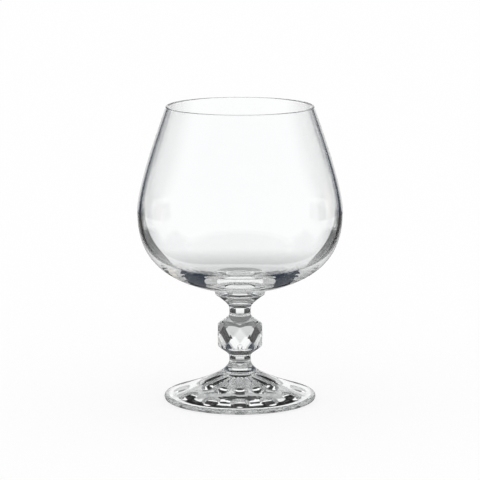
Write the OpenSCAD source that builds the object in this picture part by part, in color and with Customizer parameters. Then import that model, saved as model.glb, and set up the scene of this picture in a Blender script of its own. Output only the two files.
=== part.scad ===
// Brandy snifter: a blown bowl fused to a pressed stem with a faceted knop and a patterned, hollow foot.
// Millimetres, +Z up. The origin is on the table, on the axis of the glass.
// The four pieces stack on flat fused seams: foot, knop stem, merese, bowl.

/* [Foot] */
// Diameter of the foot
foot_d = 60; // [50:0.5:74]
// Height of the foot, from the table to its seam with the stem
foot_h = 15.5; // [14.8:0.1:20]
// Thickness of the glass at the edge of the foot
foot_edge_h = 2.2; // [1.2:0.1:3]
// How far the rounded edge stands out past the flat ring that the foot rests on
foot_edge_round = 1; // [0.4:0.1:1.6]
// Slope of the top of the foot where it meets the edge, in degrees
foot_edge_slope = 19; // [16:1:24]
// Width of the flat ring that the foot rests on
foot_ring_w = 1.4; // [0.8:0.1:3]

/* [Hollow of the foot] */
// Number of petals around the crown, and of thumbprints outside them
petal_count = 12; // [10:1:14]
// Diameter of the smooth crown at the top of the hollow
crown_d = 11.2; // [10:0.1:13]
// Height of the crown's edge above the table
crown_h = 9.4; // [9:0.1:10]
// Rise of the crown's dome above its edge
crown_rise = 0.6; // [0.4:0.1:1]
// Distance from the axis to the middle of a petal's round end, as a share of the hollow's radius
petal_r_share = 0.478; // [0.44:0.001:0.5]
// Diameter of a petal's round end, as a share of the room from one petal to the next
petal_d_share = 0.878; // [0.75:0.001:0.95]
// Height of the top of a petal's round end above the table
petal_h = 7.2; // [6.4:0.1:7.4]
// Half of the angle by which a petal narrows towards the crown, in degrees
petal_half_angle = 9; // [7:0.5:11]
// Fall of a petal's middle line from the crown outwards, in degrees
petal_fall = 10; // [8:0.5:14]
// How far a petal's narrow end reaches into the crown
petal_lap = 1.2; // [1:0.1:1.6]
// Diameter of the ball shape that leaves a thumbprint
print_d = 8; // [6:0.1:9]
// Height of a thumbprint's top above the table
print_h = 3.3; // [2.4:0.1:3.5]
// Distance from the flat ring inwards to the middle of a thumbprint
print_inset = 5.9; // [5:0.1:7]

/* [Knop stem] */
// Diameter of the necks above and below the knop
neck_d = 8.5; // [7:0.1:10]
// Length of the straight neck under the knop
lower_neck_h = 1.65; // [0.8:0.05:8]
// Length of the straight neck above the knop
upper_neck_h = 2.05; // [0.8:0.05:8]
// Height of the knop with its two flares
knop_h = 17.2; // [15:0.1:22]
// Width of the knop across two opposite upright facets
knop_flats_w = 17.6; // [15.5:0.1:20]
// Number of upright facets around the knop
facet_count = 8; // [7:1:10]
// Lean of the three-cornered facets above and below the upright ones, in degrees
facet_lean = 15.5; // [10:0.5:20]
// How far the knop's corners are blunted, measured along a radius
facet_blunt = 0.1; // [0.05:0.05:0.3]

/* [Merese] */
// Diameter of the pad under the bowl
merese_d = 19.9; // [16:0.1:24]
// Height of the pad with its flare
merese_h = 7.6; // [5:0.1:12]
// Thickness of the pad's rounded edge
merese_edge_h = 2.1; // [1:0.1:3]
// How far the rounded edge stands out past the pad's flat seat
merese_edge_round = 0.6; // [0.2:0.1:1]

/* [Bowl] */
// Height of the bowl, from its seat to the rim
bowl_h = 73; // [60:0.5:90]
// Height of the belly above the seat
belly_h = 31.5; // [24:0.5:40]
// Outside diameter at the belly, the widest place
belly_d = 81; // [70:0.5:100]
// Outside diameter at the rim
rim_d = 58.5; // [46:0.5:66]
// Thickness of the wall at the rim
rim_wall = 1.1; // [0.8:0.1:2]
// Thickness of the wall at the belly
belly_wall = 1.5; // [1:0.1:2.4]
// Thickness of the glass under the middle of the bowl
base_wall = 5.2; // [3.5:0.1:7]
// Lean of the wall at the rim, in degrees
rim_lean = 16; // [8:1:24]
// Rise of the base where it leaves the seat, in degrees
base_rise = 10.3; // [5:0.1:16]

/* [Hidden] */

// Fineness of curves and round faces
curve_steps = 20;
edge_steps = 8;
$fn = 128;
// How far a cutter runs past what it cuts
overrun = 1;

// Heights of the seams, each piece on the one below it
knop_z = foot_h + lower_neck_h + knop_h / 2;
stem_top_z = foot_h + lower_neck_h + knop_h + upper_neck_h;
seat_z = stem_top_z + merese_h;
rim_z = seat_z + bowl_h;
neck_r = neck_d / 2;
// The bowl's flat seat is as wide as the top of the merese
seat_r = merese_d / 2 - merese_edge_round;

// Foot: its flat ring, and the pull of its top curve at the neck and at the edge
foot_r = foot_d / 2;
foot_ring_r = foot_r - foot_edge_round;
foot_neck_pull_share = 0.36;
foot_edge_pull_share = 0.47;
// Hollow: it starts inside the flat ring, and its petals and thumbprints lie on two rings
hollow_r = foot_ring_r - foot_ring_w;
crown_r = crown_d / 2;
petal_step = 360 / petal_count;
petal_r = hollow_r * petal_r_share;
petal_d = 2 * petal_r * sin(petal_step / 2) * petal_d_share;
print_r = hollow_r - print_inset;
// A petal's cone ends at the middle of the ball, a little narrower than it, so that the two cross cleanly
petal_cone_share = 0.98;
petal_axis_fall = petal_fall + petal_half_angle;
petal_axis_z = petal_h - petal_d / 2;
petal_cone_r = petal_d / 2 * petal_cone_share;
petal_cone_l = (petal_r - crown_r + petal_lap) / cos(petal_axis_fall);

// Knop: the corners between upright facets, and the blank from which the facets are taken
facet_step = 360 / facet_count;
flats_r = knop_flats_w / 2;
corner_r = flats_r / cos(facet_step / 2);
blank_r_share = 1.03;
blank_r = corner_r * blank_r_share;
// The flare's two ends and pulls, as shares of half the knop's height
shoulder_share = 0.45;
flare_pull_share = 0.85;
flare_shoulder_share = 0.76;
// Radius that the flare is pulled to, as a share of the way from the neck to the blank
flare_reach_share = 0.32;

// Merese: pulls of its flare, as shares of the flare's height and overhang
merese_flare_h = merese_h - merese_edge_h;
merese_neck_pull_share = 0.33;
merese_edge_pull_shares = [0.55, 0.65];

// Bowl: pulls of the outer and inner curves, as shares of the stretch that each one spans
belly_r = belly_d / 2;
belly_z = seat_z + belly_h;
floor_z = seat_z + base_wall;
wall_top_z = rim_z - rim_wall / 2;
rim_r = rim_d / 2;
inner_rim_r = rim_r - rim_wall;
inner_belly_r = belly_r - belly_wall;
shoulder_pull_share = 0.275;
rim_pull_share = 0.145;
belly_pull_share = 0.413;
base_pull_share = 0.878;
inner_belly_pull_share = 0.9;
inner_floor_pull_share = 0.56;

// Point at share t of the cubic curve from a to d, pulled towards b and c
function curve_point(a, b, c, d, t) =
    pow(1 - t, 3) * a + 3 * pow(1 - t, 2) * t * b + 3 * (1 - t) * t * t * c + pow(t, 3) * d;

// The same curve as a list of points
function curve(a, b, c, d, steps) = [for (i = [0 : steps]) curve_point(a, b, c, d, i / steps)];

// Points of an elliptical arc about a centre, from one angle to another
function arc(centre, half_w, half_h, from, to, steps) =
    [for (i = [0 : steps])
        let (angle = from + (to - from) * i / steps)
        centre + [half_w * cos(angle), half_h * sin(angle)]];

// A list of points without its first one, so that two stretches share one joining point
function after_first(points) = [for (i = [1 : len(points) - 1]) points[i]];

// Half section of the foot without its hollow: flat ring, round edge, trumpet top
function foot_outline() =
    let (
        top_span = foot_h - foot_edge_h,
        edge_pull = (foot_ring_r - neck_r) * foot_edge_pull_share,
        edge = arc([foot_ring_r, foot_edge_h / 2], foot_edge_round, foot_edge_h / 2, -90, 90, edge_steps),
        top = curve(
            [foot_ring_r, foot_edge_h],
            [foot_ring_r - edge_pull * cos(foot_edge_slope),
                foot_edge_h + edge_pull * sin(foot_edge_slope)],
            [neck_r, foot_h - top_span * foot_neck_pull_share],
            [neck_r, foot_h],
            curve_steps))
    concat([[0, 0]], edge, after_first(top), [[0, foot_h]]);

// Half section of the plain hollow: up to the middles of the petals' round ends, then along the petals'
// middle lines to the crown's wall, so that no petal is closed below, and the domed crown
function hollow_outline() =
    let (
        plain_slope = petal_axis_z / (hollow_r - petal_r),
        dome = arc([0, crown_h], crown_r, crown_rise, 0, 90, edge_steps))
    concat(
        [[0, -overrun],
            [hollow_r + overrun / plain_slope, -overrun],
            [petal_r, petal_axis_z],
            [crown_r, petal_axis_z + (petal_r - crown_r) * tan(petal_axis_fall)]],
        dome);

// One petal: a ball with a cone that narrows from it, up and inwards, to the crown
module petal_cutter() {
    translate([petal_r, 0, petal_axis_z]) {
        sphere(d = petal_d);
        rotate([0, 90 + petal_axis_fall, 0])
            translate([0, 0, -petal_cone_l])
                cylinder(
                    h = petal_cone_l,
                    r1 = petal_cone_r - petal_cone_l * tan(petal_half_angle),
                    r2 = petal_cone_r);
    }
}

// One thumbprint: a ball shape pressed up into the glass between the petals and the flat ring
module print_cutter() {
    translate([print_r, 0, print_h - print_d / 2])
        sphere(d = print_d);
}

// Pressed trumpet foot, hollow underneath, with petals round the crown and a ring of thumbprints
module foot() {
    color([0.87, 0.9, 0.91, 0.5])
        difference() {
            rotate_extrude()
                polygon(foot_outline());
            rotate_extrude()
                polygon(hollow_outline());
            for (i = [0 : petal_count - 1])
                rotate([0, 0, -90 + i * petal_step]) {
                    petal_cutter();
                    print_cutter();
                }
        }
}

// One flare of the knop, from its shoulder to the neck, on the upper (1) or lower (-1) side
function knop_flare(side) =
    let (
        half_h = knop_h / 2,
        pull_r = neck_r + (blank_r - neck_r) * flare_reach_share)
    curve(
        [blank_r, knop_z + side * half_h * shoulder_share],
        [pull_r, knop_z + side * half_h * flare_shoulder_share],
        [neck_r, knop_z + side * half_h * flare_pull_share],
        [neck_r, knop_z + side * half_h],
        curve_steps);

// The same points in the opposite order
function reversed(points) = [for (i = [len(points) - 1 : -1 : 0]) points[i]];

// Half section of the stem before its facets are pressed
function stem_outline() =
    concat([[0, foot_h], [neck_r, foot_h]], reversed(knop_flare(-1)), knop_flare(1),
        [[neck_r, stem_top_z], [0, stem_top_z]]);

// A flat facet: removes all that lies beyond a plane at distance r, which leans by lean degrees
module facet_cutter(r, lean) {
    translate([r, 0, knop_z])
        rotate([0, -lean, 0])
            translate([0, -blank_r, -knop_h / 2])
                cube([blank_r, blank_r * 2, knop_h]);
}

// Upper neck, knop with upright facets and three-cornered facets between them, and lower neck
module knop_stem() {
    color([0.8, 0.83, 0.85, 0.5])
        difference() {
            rotate_extrude()
                polygon(stem_outline());
            for (i = [0 : facet_count - 1])
                rotate([0, 0, -90 + i * facet_step]) {
                    facet_cutter(flats_r, 0);
                    rotate([0, 0, facet_step / 2]) {
                        facet_cutter(corner_r - facet_blunt, facet_lean);
                        facet_cutter(corner_r - facet_blunt, -facet_lean);
                    }
                }
        }
}

// Half section of the merese: flare from the neck, rounded edge, flat seat for the bowl
function merese_outline() =
    let (
        under_z = seat_z - merese_edge_h,
        overhang = seat_r - neck_r,
        flare = curve(
            [neck_r, stem_top_z],
            [neck_r, stem_top_z + merese_flare_h * merese_neck_pull_share],
            [neck_r + overhang * merese_edge_pull_shares[0],
                stem_top_z + merese_flare_h * merese_edge_pull_shares[1]],
            [seat_r, under_z],
            curve_steps),
        edge = arc([seat_r, under_z + merese_edge_h / 2], merese_edge_round, merese_edge_h / 2, -90, 90,
            edge_steps))
    concat([[0, stem_top_z]], flare, after_first(edge), [[0, seat_z]]);

// Flared pad that carries the bowl on the stem
module merese() {
    color([0.84, 0.87, 0.88, 0.5])
        rotate_extrude()
            polygon(merese_outline());
}

// Upper wall of the bowl from a belly radius to a rim radius
function wall_curve(from_r, to_r) =
    let (
        span = wall_top_z - belly_z,
        rim_pull = span * rim_pull_share)
    curve(
        [from_r, belly_z],
        [from_r, belly_z + span * shoulder_pull_share],
        [to_r + rim_pull * sin(rim_lean), wall_top_z - rim_pull * cos(rim_lean)],
        [to_r, wall_top_z],
        curve_steps);

// Outside of the bowl's base, from the seat to the belly
function base_curve() =
    let (base_pull = (belly_r - seat_r) * base_pull_share)
    curve(
        [seat_r, seat_z],
        [seat_r + base_pull * cos(base_rise), seat_z + base_pull * sin(base_rise)],
        [belly_r, belly_z - belly_h * belly_pull_share],
        [belly_r, belly_z],
        curve_steps);

// Inside of the bowl's base, from the belly down to the middle of the floor
function floor_curve() =
    curve(
        [inner_belly_r, belly_z],
        [inner_belly_r, belly_z - (belly_z - floor_z) * inner_belly_pull_share],
        [inner_belly_r * inner_floor_pull_share, floor_z],
        [0, floor_z],
        curve_steps);

// Half section of the bowl: base, belly, wall, round rim, then down the inside
function bowl_outline() =
    let (rim = arc([rim_r - rim_wall / 2, wall_top_z], rim_wall / 2, rim_wall / 2, 0, 180, edge_steps))
    concat([[0, seat_z]], base_curve(), after_first(wall_curve(belly_r, rim_r)), after_first(rim),
        after_first(reversed(wall_curve(inner_belly_r, inner_rim_r))), after_first(floor_curve()));

// Blown bowl, thin at the rim and thick at the base
module bowl() {
    color([0.93, 0.95, 0.96, 0.35])
        rotate_extrude()
            polygon(bowl_outline());
}

foot();
knop_stem();
merese();
bowl();
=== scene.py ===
"""Brandy snifter in clear crystal: a blown bowl on a pressed merese, knop stem and foot, in a studio."""

import math

import bpy
import numpy as np
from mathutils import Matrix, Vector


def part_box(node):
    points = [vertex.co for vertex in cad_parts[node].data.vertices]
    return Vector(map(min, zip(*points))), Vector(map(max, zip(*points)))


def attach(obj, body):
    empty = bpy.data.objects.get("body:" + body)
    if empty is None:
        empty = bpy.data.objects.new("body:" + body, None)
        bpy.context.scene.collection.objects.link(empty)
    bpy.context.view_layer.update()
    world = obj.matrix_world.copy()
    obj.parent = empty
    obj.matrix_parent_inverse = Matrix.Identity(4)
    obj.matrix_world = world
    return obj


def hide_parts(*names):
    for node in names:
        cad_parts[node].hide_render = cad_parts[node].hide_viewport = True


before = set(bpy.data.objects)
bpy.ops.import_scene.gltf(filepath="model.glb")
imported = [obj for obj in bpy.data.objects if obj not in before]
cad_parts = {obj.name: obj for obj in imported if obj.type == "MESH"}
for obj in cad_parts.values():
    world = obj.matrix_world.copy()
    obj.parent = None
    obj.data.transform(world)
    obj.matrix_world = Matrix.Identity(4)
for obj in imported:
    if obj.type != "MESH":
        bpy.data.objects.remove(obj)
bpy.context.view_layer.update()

# Foot
# A trumpet foot of pressed crystal, hollow underneath. The mould's plunger presses petals round a small
# smooth crown and a ring of thumbprints outside them, and the finished foot is fused hot under the stem.
MM = 0.001
foot_low, foot_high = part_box("foot")
foot_r = foot_high.x
foot_top = foot_high.z
neck_r = 4.25 * MM
edge_h = 2.2 * MM
edge_round = 1.0 * MM
edge_slope = math.radians(19)
foot_neck_pull_share = 0.36
foot_edge_pull_share = 0.47
ring_r = foot_r - edge_round
ring_w = 1.4 * MM
flat_r = ring_r - ring_w / 3
hollow_r = ring_r - ring_w
crown_r = 5.6 * MM
crown_h = 9.4 * MM
crown_rise = 0.6 * MM
dome_start = 88
petal_count = 12
petal_r_share = 0.478
petal_d_share = 0.878
petal_r = hollow_r * petal_r_share
petal_ball_r = petal_r * math.sin(math.pi / petal_count) * petal_d_share
petal_h = 7.2 * MM
petal_fall = math.radians(10)
petal_half_angle = math.radians(9)
petal_axis_fall = petal_fall + petal_half_angle
petal_axis_z = petal_h - petal_ball_r
petal_cone_share = 0.98
print_inset = 5.9 * MM
print_r = hollow_r - print_inset
print_ball_r = 4.0 * MM
print_h = 3.3 * MM
ridge_round = 0.25 * MM
under_table = -foot_top
foot_columns = 384
dome_steps = 14
hollow_steps = 140
foot_edge_steps = 20
trumpet_steps = 80
sharp_angle = math.radians(50)
pressed_tints = ((0.975, 0.985, 0.985, 1), (0.955, 0.97, 0.97, 1))
pressed_ripple_scale = 260
pressed_ripple_h = 0.02 * MM
pressed_haze = 0.01
ripple_detail = 2
striae_detail = 1
striae_size = 3
crystal_ior = 1.52
MIX_FIRST_COLOUR = 6
MIX_SECOND_COLOUR = 7
MIX_COLOUR_OUT = 2


def curve(start, start_pull, end_pull, end, count):
    """Cubic curve: at share t the two ends and their pulls weigh (1-t)^3, 3(1-t)^2 t, 3(1-t)t^2 and t^3."""
    t = np.linspace(0, 1, count)[:, None]
    ends = (1 - t) ** 3 * np.array(start) + t ** 3 * np.array(end)
    from_start = 3 * (1 - t) ** 2 * t * np.array(start_pull)
    from_end = 3 * (1 - t) * t ** 2 * np.array(end_pull)
    return ends + from_start + from_end


def arc(centre, half_w, half_h, first, last, count):
    """Elliptical arc in the half section: centre plus half_w cos a and half_h sin a, with a in degrees."""
    a = np.radians(np.linspace(first, last, count))
    return np.stack([centre[0] + half_w * np.cos(a), centre[1] + half_h * np.sin(a)], axis=1)


def smooth_greatest(a, b, width):
    """The greater of two surfaces, with their crossing rounded off over a difference of width."""
    return np.maximum(a, b) + np.maximum(width - np.abs(a - b), 0) ** 2 / (4 * width)


def turned(radius, height, columns):
    """Points of a ring grid: row i, column j is at radius[i, j], height[i, j] and turn 2 pi j / columns."""
    turn = np.linspace(0, 2 * np.pi, columns, endpoint=False) - np.pi / 2
    shape = np.broadcast_shapes(radius.shape, height.shape, turn.shape)
    grid = [radius * np.cos(turn), radius * np.sin(turn), height]
    return np.stack([np.broadcast_to(part, shape) for part in grid], axis=-1)


def off_middle(columns, step):
    """Turn of each column of a ring grid from the nearest middle of a pattern that repeats every step."""
    turn = np.arange(columns) * 2 * np.pi / columns
    return np.abs((turn + step / 2) % step - step / 2)


def closed_piece(name, rings, first_pole, last_pole, finishes, seam_rows=()):
    """A closed mesh from rings of points between two poles on the axis.

    Quads join each ring to the next, and a fan closes each end. Rows listed in seam_rows, counted from the
    first pole, take the second finish: they are the flat seams where the pieces are fused."""
    rows, columns = rings.shape[:2]
    points = np.vstack([rings.reshape(-1, 3), [(0, 0, first_pole)], [(0, 0, last_pole)]])
    column = np.arange(columns)
    beside = np.roll(column, -1)
    start = np.arange(rows - 1)[:, None] * columns
    above = start + columns
    quads = np.stack([start + column, start + beside, above + beside, above + column], axis=-1)
    quads = quads.reshape(-1, 4)
    first_fan = np.stack([np.full(columns, rows * columns), beside, column], axis=-1)
    last = (rows - 1) * columns
    last_fan = np.stack([np.full(columns, rows * columns + 1), last + column, last + beside], axis=-1)
    mesh = bpy.data.meshes.new(name)
    mesh.from_pydata(points.tolist(), [], first_fan.tolist() + quads.tolist() + last_fan.tolist())
    row_of_face = np.repeat(np.arange(rows + 1), columns)
    mesh.polygons.foreach_set("material_index", np.isin(row_of_face, seam_rows).astype(np.int32))
    mesh.polygons.foreach_set("use_smooth", np.ones(len(mesh.polygons), dtype=bool))
    mesh.set_sharp_from_angle(angle=sharp_angle)
    for finish in finishes:
        mesh.materials.append(finish)
    mesh.update()
    piece = bpy.data.objects.new(name, mesh)
    bpy.context.scene.collection.objects.link(piece)
    return piece


class Socket:
    """A node's output. Sums and products on it add Math nodes to the same tree."""

    def __init__(self, output):
        self.output = output

    @staticmethod
    def node(tree, kind, settings=None, inputs=None, output=0):
        """Adds a node: its settings first, then the values or links of its sockets. Returns one output."""
        made = tree.nodes.new(kind)
        for name, value in (settings or {}).items():
            setattr(made, name, value)
        for name, value in (inputs or {}).items():
            if isinstance(value, Socket):
                tree.links.new(value.output, made.inputs[name])
            else:
                made.inputs[name].default_value = value
        return Socket(made.outputs[output]) if made.outputs else made

    def math(self, operation, first, second):
        tree = self.output.id_data
        return Socket.node(tree, "ShaderNodeMath", {"operation": operation}, {0: first, 1: second})

    def __add__(self, other):
        return self.math("ADD", self, other)

    def __radd__(self, other):
        return self.math("ADD", other, self)

    def __mul__(self, other):
        return self.math("MULTIPLY", self, other)


def empty_finish(name):
    """A new material, and its node tree with nothing in it."""
    finish = bpy.data.materials.new(name)
    finish.use_nodes = True
    finish.node_tree.nodes.clear()
    return finish, finish.node_tree


def crystal(name, tints, ripple_scale, ripple_height, haze):
    """Clear glass: faint striae between two tints, a shallow ripple in the skin and a trace of haze."""
    finish, tree = empty_finish(name)
    place = Socket.node(tree, "ShaderNodeTexCoord", output="Object")
    ripple = Socket.node(tree, "ShaderNodeTexNoise", {},
                         {"Vector": place, "Scale": ripple_scale, "Detail": ripple_detail})
    striae = Socket.node(tree, "ShaderNodeTexNoise", {},
                         {"Vector": place, "Scale": ripple_scale / striae_size, "Detail": striae_detail})
    tint = Socket.node(tree, "ShaderNodeMix", {"data_type": "RGBA"},
                       {"Factor": striae, MIX_FIRST_COLOUR: tints[0], MIX_SECOND_COLOUR: tints[1]},
                       output=MIX_COLOUR_OUT)
    skin = Socket.node(tree, "ShaderNodeBump", {},
                       {"Strength": 1, "Distance": ripple_height, "Height": ripple})
    body = Socket.node(tree, "ShaderNodeBsdfPrincipled", {},
                       {"Base Color": tint, "Roughness": ripple * haze, "Normal": skin,
                        "IOR": crystal_ior, "Transmission Weight": 1})
    Socket.node(tree, "ShaderNodeOutputMaterial", {}, {"Surface": body})
    return finish


def fused_seam():
    """The inside of a fused joint, where the glass runs on: light passes straight through."""
    finish, tree = empty_finish("fused_seam")
    through = Socket.node(tree, "ShaderNodeBsdfTransparent")
    Socket.node(tree, "ShaderNodeOutputMaterial", {}, {"Surface": through})
    return finish


def ball_top(radius, off, middle_r, top, ball_r):
    """Height of a ball's upper half, the root of ball_r^2 - x^2 - y^2 above its middle.

    Here x runs out from the middle and y across. Beside the ball, the height is somewhere under the table."""
    x = radius * np.cos(off) - middle_r
    y = radius * np.sin(off)
    square = ball_r ** 2 - x ** 2 - y ** 2
    return np.where(square > 0, top - ball_r + np.sqrt(np.maximum(square, 0)), under_table)


def petal_top(radius, off):
    """Height of one petal: a ball, and a cone that narrows from the ball's middle, up and inwards.

    With x out from the cone's apex, y across and z up, the cone's top is the upper root of
    (x cos fall - z sin fall)^2 = cos^2(half angle) (x^2 + y^2 + z^2)."""
    fall = petal_axis_fall
    length = petal_ball_r * petal_cone_share / math.tan(petal_half_angle)
    x = radius * np.cos(off) - petal_r + length * math.cos(fall)
    y = radius * np.sin(off)
    opened = math.cos(petal_half_angle) ** 2
    a = math.sin(fall) ** 2 - opened
    b = -2 * x * math.cos(fall) * math.sin(fall)
    c = x ** 2 * (math.cos(fall) ** 2 - opened) - opened * y ** 2
    square = b ** 2 - 4 * a * c
    z = (-b - np.sqrt(np.maximum(square, 0))) / (2 * a)
    along_axis = x * math.cos(fall) - z * math.sin(fall)
    on_cone = (square > 0) & (along_axis > 0) & (along_axis < length)
    cone = np.where(on_cone, petal_axis_z + length * math.sin(fall) + z, under_table)
    return np.maximum(cone, ball_top(radius, off, petal_r, petal_h, petal_ball_r))


def hollow_height(radius, columns):
    """Height of the hollow: over each place, the top of the petals, the thumbprints or the plain glass.

    The plain glass rises straight to the middles of the petals' round ends, then along their middle lines."""
    step = 2 * np.pi / petal_count
    off = off_middle(columns, step)
    petals = smooth_greatest(petal_top(radius, off), petal_top(radius, step - off), ridge_round)
    prints = ball_top(radius, off, print_r, print_h, print_ball_r)
    crown_axis_z = petal_axis_z + (petal_r - crown_r) * math.tan(petal_axis_fall)
    plain = np.interp(radius, [crown_r, petal_r, hollow_r], [crown_axis_z, petal_axis_z, 0])
    return smooth_greatest(smooth_greatest(petals, prints, ridge_round), plain, ridge_round)


def foot_rings(columns):
    """Rings of the foot from the crown of the hollow outwards, over the edge and up to the seam."""
    dome = arc((0, crown_h), crown_r, crown_rise, dome_start, 0, dome_steps)
    inside_r = np.linspace(crown_r, flat_r, hollow_steps)[:, None]
    inside = turned(inside_r, np.maximum(hollow_height(inside_r, columns), 0), columns)
    edge = arc((ring_r, edge_h / 2), edge_round, edge_h / 2, -90, 90, foot_edge_steps)
    pull = (ring_r - neck_r) * foot_edge_pull_share
    trumpet = curve(
        (ring_r, edge_h),
        (ring_r - pull * math.cos(edge_slope), edge_h + pull * math.sin(edge_slope)),
        (neck_r, foot_top - (foot_top - edge_h) * foot_neck_pull_share),
        (neck_r, foot_top),
        trumpet_steps)
    outside = np.vstack([edge, trumpet[1:]])
    return np.concatenate([
        turned(dome[:, :1], dome[:, 1:], columns),
        inside,
        turned(outside[:, :1], outside[:, 1:], columns)])


pressed_crystal = crystal("pressed_crystal", pressed_tints,
                          pressed_ripple_scale, pressed_ripple_h, pressed_haze)
seam = fused_seam()
rings = foot_rings(foot_columns)
foot = closed_piece("crystal_foot", rings, crown_h + crown_rise, foot_top,
                    [pressed_crystal, seam], seam_rows=(len(rings),))
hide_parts("foot")
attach(foot, "root")

# Knop stem
# A short neck, a knop and a second neck, pressed in one mould with the knop's facets in it: eight upright
# facets round the middle, and three-cornered ones above and below that lean in between them.
stem_low, stem_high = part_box("knop_stem")
lower_neck_h = 1.65 * MM
upper_neck_h = 2.05 * MM
flats_r = stem_high.x
facet_count = 8
facet_lean = math.radians(15.5)
facet_blunt = 0.1 * MM
facet_round = 0.3 * MM
corner_r = flats_r / math.cos(math.pi / facet_count)
blank_share = 1.03
blank_r = corner_r * blank_share
shoulder_share = 0.45
flare_pull_share = 0.85
flare_shoulder_share = 0.76
flare_reach_share = 0.32
knop_columns = 512
flare_steps = 48
belt_steps = 72


def smooth_least(a, b, width):
    """The lesser of two surfaces, rounded in the same way."""
    return -smooth_greatest(-a, -b, width)


def knop_rings(columns):
    """Rings of the stem: at each height the least of the turned blank and the planes of the facets.

    A plane at distance d lies at radius d / cos(off), where off is the turn from the facet's middle."""
    bottom = stem_low.z + lower_neck_h
    top = stem_high.z - upper_neck_h
    middle = (bottom + top) / 2
    half_h = (top - bottom) / 2
    shoulder_h = half_h * shoulder_share
    flare = curve(
        (blank_r, shoulder_h),
        (neck_r + (blank_r - neck_r) * flare_reach_share, half_h * flare_shoulder_share),
        (neck_r, half_h * flare_pull_share),
        (neck_r, half_h),
        flare_steps)
    belt = np.linspace(-shoulder_h, shoulder_h, belt_steps)[1:-1]
    blank = np.concatenate([
        [(neck_r, stem_low.z - middle)],
        flare[::-1] * (1, -1),
        np.stack([np.full_like(belt, blank_r), belt], axis=1),
        flare,
        [(neck_r, stem_high.z - middle)]])
    height = blank[:, 1:]
    step = 2 * np.pi / facet_count
    off = off_middle(columns, step)
    upright = flats_r / np.cos(off) + 0 * height
    leaning = (corner_r - facet_blunt - np.abs(height) * math.tan(facet_lean)) / np.cos(step / 2 - off)
    facets = smooth_least(upright, leaning, facet_round)
    return turned(smooth_least(facets, blank[:, :1], facet_round), height + middle, columns)


rings = knop_rings(knop_columns)
knop_stem = closed_piece("crystal_knop_stem", rings, stem_low.z, stem_high.z,
                         [pressed_crystal, seam], seam_rows=(0, len(rings)))
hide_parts("knop_stem")
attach(knop_stem, "root")

# Merese
# A small flared pad of pressed crystal between the stem and the bowl. It spreads the joint: the bowl's base
# is fused flat on its top, and its edge stays round from the fire.
merese_low, merese_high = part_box("merese")
merese_edge_h = 2.1 * MM
merese_edge_round = 0.6 * MM
seat_r = merese_high.x - merese_edge_round
merese_neck_pull_share = 0.33
merese_reach_share = 0.55
merese_edge_pull_share = 0.65
merese_columns = 256
merese_flare_steps = 60
merese_edge_steps = 24


def merese_rings(columns):
    """Rings of the pad: a flare from the neck, then a half ellipse round its edge up to the flat seat."""
    under = merese_high.z - merese_edge_h
    flare_h = under - merese_low.z
    flare = curve(
        (neck_r, merese_low.z),
        (neck_r, merese_low.z + flare_h * merese_neck_pull_share),
        (neck_r + (seat_r - neck_r) * merese_reach_share, merese_low.z + flare_h * merese_edge_pull_share),
        (seat_r, under),
        merese_flare_steps)
    half_h = merese_edge_h / 2
    edge = arc((seat_r, under + half_h), merese_edge_round, half_h, -90, 90, merese_edge_steps)
    outline = np.vstack([flare, edge[1:]])
    return turned(outline[:, :1], outline[:, 1:], columns)


rings = merese_rings(merese_columns)
merese = closed_piece("crystal_merese", rings, merese_low.z, merese_high.z,
                      [pressed_crystal, seam], seam_rows=(0, len(rings)))
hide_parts("merese")
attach(merese, "root")

# Bowl
# Blown crystal, thick at the base and thin at the rim, where it is cut and melted round. Its flat seat is
# fused on the merese.
bowl_low, bowl_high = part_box("bowl")
belly_r = bowl_high.x
belly_h = 31.5 * MM
belly_z = bowl_low.z + belly_h
rim_r = 29.25 * MM
rim_wall = 1.1 * MM
belly_wall = 1.5 * MM
base_wall = 5.2 * MM
floor_z = bowl_low.z + base_wall
rim_lean = math.radians(16)
base_rise = math.radians(10.3)
base_pull_share = 0.878
belly_pull_share = 0.413
wall_pull_share = 0.275
rim_pull_share = 0.145
floor_pull_share = 0.9
floor_reach_share = 0.56
bowl_columns = 256
wall_steps = 70
base_steps = 80
rim_steps = 16
floor_steps = 90
blown_tints = ((0.99, 0.994, 0.995, 1), (0.98, 0.987, 0.99, 1))
blown_ripple_scale = 60
blown_ripple_h = 0.01 * MM
blown_haze = 0.005


def bowl_rings(columns):
    """Rings of the bowl: base, belly and wall outside, half a circle over the rim, then down the inside."""
    wall_top = bowl_high.z - rim_wall / 2
    span = wall_top - belly_z
    base_pull = (belly_r - seat_r) * base_pull_share
    rim_pull = span * rim_pull_share

    def wall(from_r, to_r):
        return curve(
            (from_r, belly_z),
            (from_r, belly_z + span * wall_pull_share),
            (to_r + rim_pull * math.sin(rim_lean), wall_top - rim_pull * math.cos(rim_lean)),
            (to_r, wall_top),
            wall_steps)

    base = curve(
        (seat_r, bowl_low.z),
        (seat_r + base_pull * math.cos(base_rise), bowl_low.z + base_pull * math.sin(base_rise)),
        (belly_r, belly_z - belly_h * belly_pull_share),
        (belly_r, belly_z),
        base_steps)
    rim = arc((rim_r - rim_wall / 2, wall_top), rim_wall / 2, rim_wall / 2, 0, 180, rim_steps)
    inner_r = belly_r - belly_wall
    floor = curve(
        (inner_r, belly_z),
        (inner_r, belly_z - (belly_z - floor_z) * floor_pull_share),
        (inner_r * floor_reach_share, floor_z),
        (0, floor_z),
        floor_steps)
    inner_wall = wall(inner_r, rim_r - rim_wall)[::-1]
    outline = np.vstack([base, wall(belly_r, rim_r)[1:], rim[1:], inner_wall[1:], floor[1:-1]])
    return turned(outline[:, :1], outline[:, 1:], columns)


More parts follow.
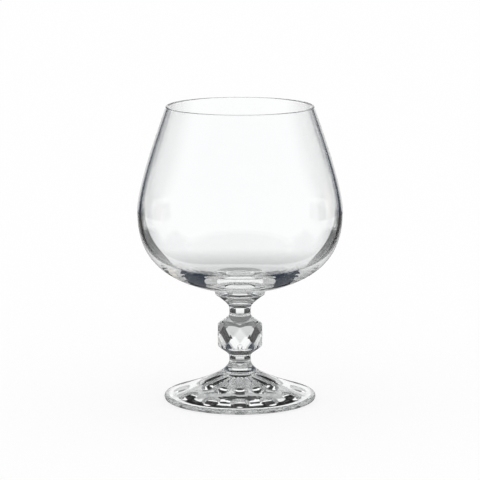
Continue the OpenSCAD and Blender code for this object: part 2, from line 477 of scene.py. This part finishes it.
blown_crystal = crystal("blown_crystal", blown_tints,
                        blown_ripple_scale, blown_ripple_h, blown_haze)
rings = bowl_rings(bowl_columns)
bowl = closed_piece("crystal_bowl", rings, bowl_low.z, floor_z,
                    [blown_crystal, seam], seam_rows=(0,))
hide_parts("bowl")
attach(bowl, "root")

# Camera
# A long lens a little over a metre away, looking down by about ten degrees.
eye_place = (0, -1.075, 0.2498)
eye_tilt = math.radians(90 - 9.82)
sensor_w = 36
lens_length = 207.5
sight_end = 20
eye = bpy.data.objects.new("camera", bpy.data.cameras.new("camera"))
eye.data.sensor_width = sensor_w
eye.data.lens = lens_length
eye.data.clip_end = sight_end
eye.location = eye_place
eye.rotation_euler = (eye_tilt, 0, 0)
bpy.context.scene.collection.objects.link(eye)
bpy.context.scene.camera = eye

# Studio
# A white sweep and a pale table. Flags, cloths and lit cards stand round the glass, out of the camera's
# sight, and turn with the camera. They draw the dark lines and the sparkle that clear crystal shows.
table_half = 3.0
table_z = -0.2 * MM
table_colour = (0.97, 0.97, 0.97, 1)
table_plain_share = 0.8
cloth_z = -0.1 * MM
white = (1, 1, 1, 1)

world = bpy.data.worlds.new("white_sweep")
world.use_nodes = True
background = world.node_tree.nodes["Background"]
background.inputs["Color"].default_value = white
background.inputs["Strength"].default_value = 1
bpy.context.scene.world = world


def stage_object(name, points, faces, finish):
    """A mesh of the studio, which is not part of the glass."""
    mesh = bpy.data.meshes.new(name)
    mesh.from_pydata(points, [], faces)
    mesh.materials.append(finish)
    panel = bpy.data.objects.new(name, mesh)
    bpy.context.scene.collection.objects.link(panel)
    return panel


def table_finish():
    """A pale table: mostly plain white to the eye and through the glass, with a share of its soft shading."""
    finish, tree = empty_finish("pale_table")
    seen = sum(Socket.node(tree, "ShaderNodeLightPath", output=ray)
               for ray in ("Is Camera Ray", "Is Glossy Ray", "Is Transmission Ray"))
    matt = Socket.node(tree, "ShaderNodeBsdfDiffuse", {}, {"Color": table_colour})
    plain = Socket.node(tree, "ShaderNodeEmission", {}, {"Color": white, "Strength": 1})
    both = Socket.node(tree, "ShaderNodeMixShader", {},
                       {"Fac": seen * table_plain_share, 1: matt, 2: plain})
    Socket.node(tree, "ShaderNodeOutputMaterial", {}, {"Surface": both})
    return finish


table_corners = [(-table_half, -table_half, table_z), (table_half, -table_half, table_z),
                 (table_half, table_half, table_z), (-table_half, table_half, table_z)]
stage_object("pale_table", table_corners, [range(4)], table_finish())

studio = bpy.data.objects.new("studio", None)
bpy.context.scene.collection.objects.link(studio)
follow = studio.constraints.new("LOCKED_TRACK")
follow.target = eye
follow.track_axis = "TRACK_NEGATIVE_Y"
follow.lock_axis = "LOCK_Z"


def light_finish():
    """Plain light of the colour that the sheet's points carry."""
    finish, tree = empty_finish("sheet_light")
    colour = Socket.node(tree, "ShaderNodeAttribute", {"attribute_name": "light"})
    glow = Socket.node(tree, "ShaderNodeEmission", {}, {"Color": colour, "Strength": 1})
    Socket.node(tree, "ShaderNodeOutputMaterial", {}, {"Surface": glow})
    return finish


sheet_light = light_finish()
sheet_steps = 48


def along(first, last):
    """Light that grades from a sheet's first turn to its last."""
    return np.array([[first], [last]])


def across(near, far):
    """Light that grades from a sheet's near edge to its far one."""
    return np.array([[[near]], [[far]]])


def sheet(name, first, last, near, far, light):
    """A sheet of light about the glass, which only the glass shows.

    It runs between two turns from straight behind the glass, in degrees to the right, and between two edges,
    each a radius and a height: a wall where the radii are alike, a cloth where the heights are. Its light is
    a level, a colour or a grade, spread evenly between its four corners."""
    share = np.linspace(0, 1, sheet_steps)
    turn = np.radians(first + (last - first) * share)
    radius, height = np.array([near, far]).T[:, :, None]
    grid = np.stack(np.broadcast_arrays(radius * np.sin(turn), radius * np.cos(turn), height), axis=-1)
    column = np.arange(sheet_steps - 1)
    beside = column + 1
    quads = np.stack([column, beside, beside + sheet_steps, column + sheet_steps], axis=-1)
    panel = stage_object(name, grid.reshape(-1, 3).tolist(), quads.tolist(), sheet_light)
    corners = np.broadcast_to(light, (2, 2, 3))
    colours = np.ones((2, sheet_steps, 4))
    colours[:, :, :3] = corners[:, :1] + (corners[:, 1:] - corners[:, :1]) * share[:, None]
    attribute = panel.data.color_attributes.new("light", "FLOAT_COLOR", "POINT")
    attribute.data.foreach_set("color", colours.ravel())
    panel.parent = studio
    panel.visible_camera = False
    panel.visible_diffuse = False
    panel.visible_shadow = False


def pair(name, first, last, near, far, light):
    """Two sheets that mirror each other, right and left of the glass."""
    sheet(name + "_right", first, last, near, far, light)
    sheet(name + "_left", -first, -last, near, far, light)


def on_table(radius):
    """An edge that lies just over the table."""
    return radius, cloth_z


# Turns at which the sheets meet
strip = 16
wing = 26
flag_end = 45
far_cloth_end = 46
over_flag_end = 50
slate_end = 57
cloth_end = 60
card_end = 70
side_end = 85
quarter = 90

# Levels and colours of light
black = 0.02
dark = 0.03
dusk = 0.05
side_cloth_light = 0.1
side_flag_right_light = 0.12
apron_light = 0.2
side_flag_left_light = 0.35
card_left_light = 0.55
grey = 0.6
fill_light = 0.7
full = 1
# Level of the painted bright rings of light, gathered by the foot's glass, on the table under the foot
painted_caustic_light = 1.2
navy = (0.04, 0.05, 0.07)
cream = (0.95, 0.9, 0.8)

# Walls round the glass and a ceiling over it
wall_r = 0.5
low = (wall_r, 0)
card_top = (wall_r, 0.12)
sweep_top = (wall_r, 0.2)
fill_top = (wall_r, 0.27)
high = (wall_r, 0.6)
ceiling_r = 1
ceiling_z = 1.2
pair("wing", strip, wing, low, sweep_top, grey)
pair("flag", wing, flag_end, low, card_top, navy)
pair("slate", flag_end, slate_end, low, card_top, grey)
sheet("card_right", slate_end, card_end, low, card_top, cream)
sheet("card_left", -card_end, -slate_end, low, card_top, card_left_light)
sheet("side_flag_right", card_end, side_end, low, card_top, side_flag_right_light)
sheet("side_flag_left", -side_end, -card_end, low, card_top, side_flag_left_light)
pair("over_flag", wing, over_flag_end, card_top, high, navy)
pair("fill", over_flag_end, quarter, card_top, fill_top, along(fill_light, full))
pair("over_fill", over_flag_end, side_end, fill_top, high, navy)
sheet("header", -wing, wing, sweep_top, high, dark)
sheet("ceiling", -2 * quarter, 2 * quarter, (ceiling_r, ceiling_z), (0, ceiling_z), dark)

# Cloths round the foot, and under it a painted shadow of the foot with painted rings of light gathered by its
# glass
# Radii of the painted shadow under the foot and of its painted rings of light
painted_shadow_crown_edge = on_table(12 * MM)
painted_shadow_edge = on_table(28.5 * MM)
front_apron_edge = on_table(45 * MM)
apron_edge = on_table(65 * MM)
near_strip_edge = on_table(190 * MM)
cloth_edge = on_table(300 * MM)
painted_ring_mm = (0, 6, 10, 14, 18, 24, 28.5)
sheet("near_strip", -strip, strip, apron_edge, near_strip_edge, across(grey, full))
pair("cloth", strip, cloth_end, apron_edge, cloth_edge, black)
pair("side_cloth", cloth_end, side_end, apron_edge, cloth_edge, along(side_cloth_light, full))
pair("far_cloth", strip, far_cloth_end, cloth_edge, low, dusk)
sheet("apron_rear", -quarter, quarter, painted_shadow_edge, apron_edge, apron_light)
sheet("apron_front", quarter, 3 * quarter, painted_shadow_edge, front_apron_edge, dusk)
# Painted shadow of the foot on the table under it: dark under the crown, grey towards the rear
sheet("painted_shadow_crown", -quarter, quarter, on_table(0), painted_shadow_crown_edge, black)
sheet("painted_shadow_rear", -quarter, quarter, painted_shadow_crown_edge, painted_shadow_edge, grey)
# In front, dark rings of painted shadow between bright rings of painted light that the foot's glass would
# gather on the table
for near, far, level in zip(painted_ring_mm, painted_ring_mm[1:], (black, painted_caustic_light) * 3):
    sheet("painted_shadow_and_light_front_%g" % far, quarter, 3 * quarter, on_table(near * MM), on_table(far * MM), level)

scene = bpy.context.scene
scene.view_settings.view_transform = "Standard"
glass_bounces = 128
scene.cycles.max_bounces = glass_bounces
scene.cycles.transmission_bounces = glass_bounces
scene.cycles.glossy_bounces = glass_bounces
scene.cycles.transparent_max_bounces = glass_bounces
